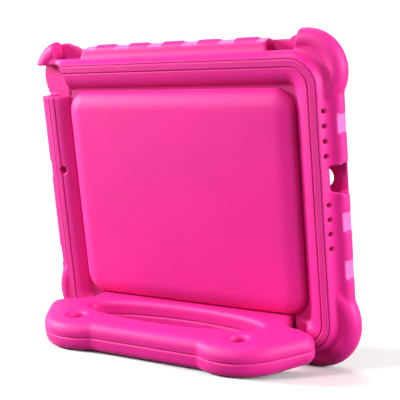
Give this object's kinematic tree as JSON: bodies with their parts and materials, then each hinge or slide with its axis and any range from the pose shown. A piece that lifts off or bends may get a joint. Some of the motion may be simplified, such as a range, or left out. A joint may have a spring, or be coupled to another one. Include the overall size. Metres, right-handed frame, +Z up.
{
  "type": "tablet case",
  "caption": "Foam tablet case with a padded back, open screen side and a swinging grip handle that folds square to the back as a stand.",
  "frame": {"origin": "centre of the bounding box's bottom face, in the standing pose", "axes": "+Z up, +X along the tablet's long side to the right seen from behind, -Y towards the side the handle points at"},
  "size_m": [0.2674, 0.0928, 0.2304],
  "materials": {
    "foam": "matt closed-cell foam skin",
    "plastic": "moulded",
    "steel": "ground",
    "nylon": "moulded"
  },
  "bodies": {
    "case": {"foam_shell": "foam", "back_pad": "foam", "lug_insert_right": "plastic", "lug_insert_left": "plastic", "hinge_pin_right": "steel", "hinge_pin_left": "steel", "washer_right": "nylon", "washer_left": "nylon"},
    "handle": {"grip_upper": "foam", "grip_lower": "foam", "grip_core": "plastic", "bush_right": "plastic", "bush_left": "plastic"}
  },
  "joints": [
    {"name": "handle_hinge", "type": "hinge", "parent": "case", "child": "handle", "pos_m": [0, 0.03132, 0.02594], "axis": [1, 0, 0], "range_deg": [0, 180]}
  ]
}
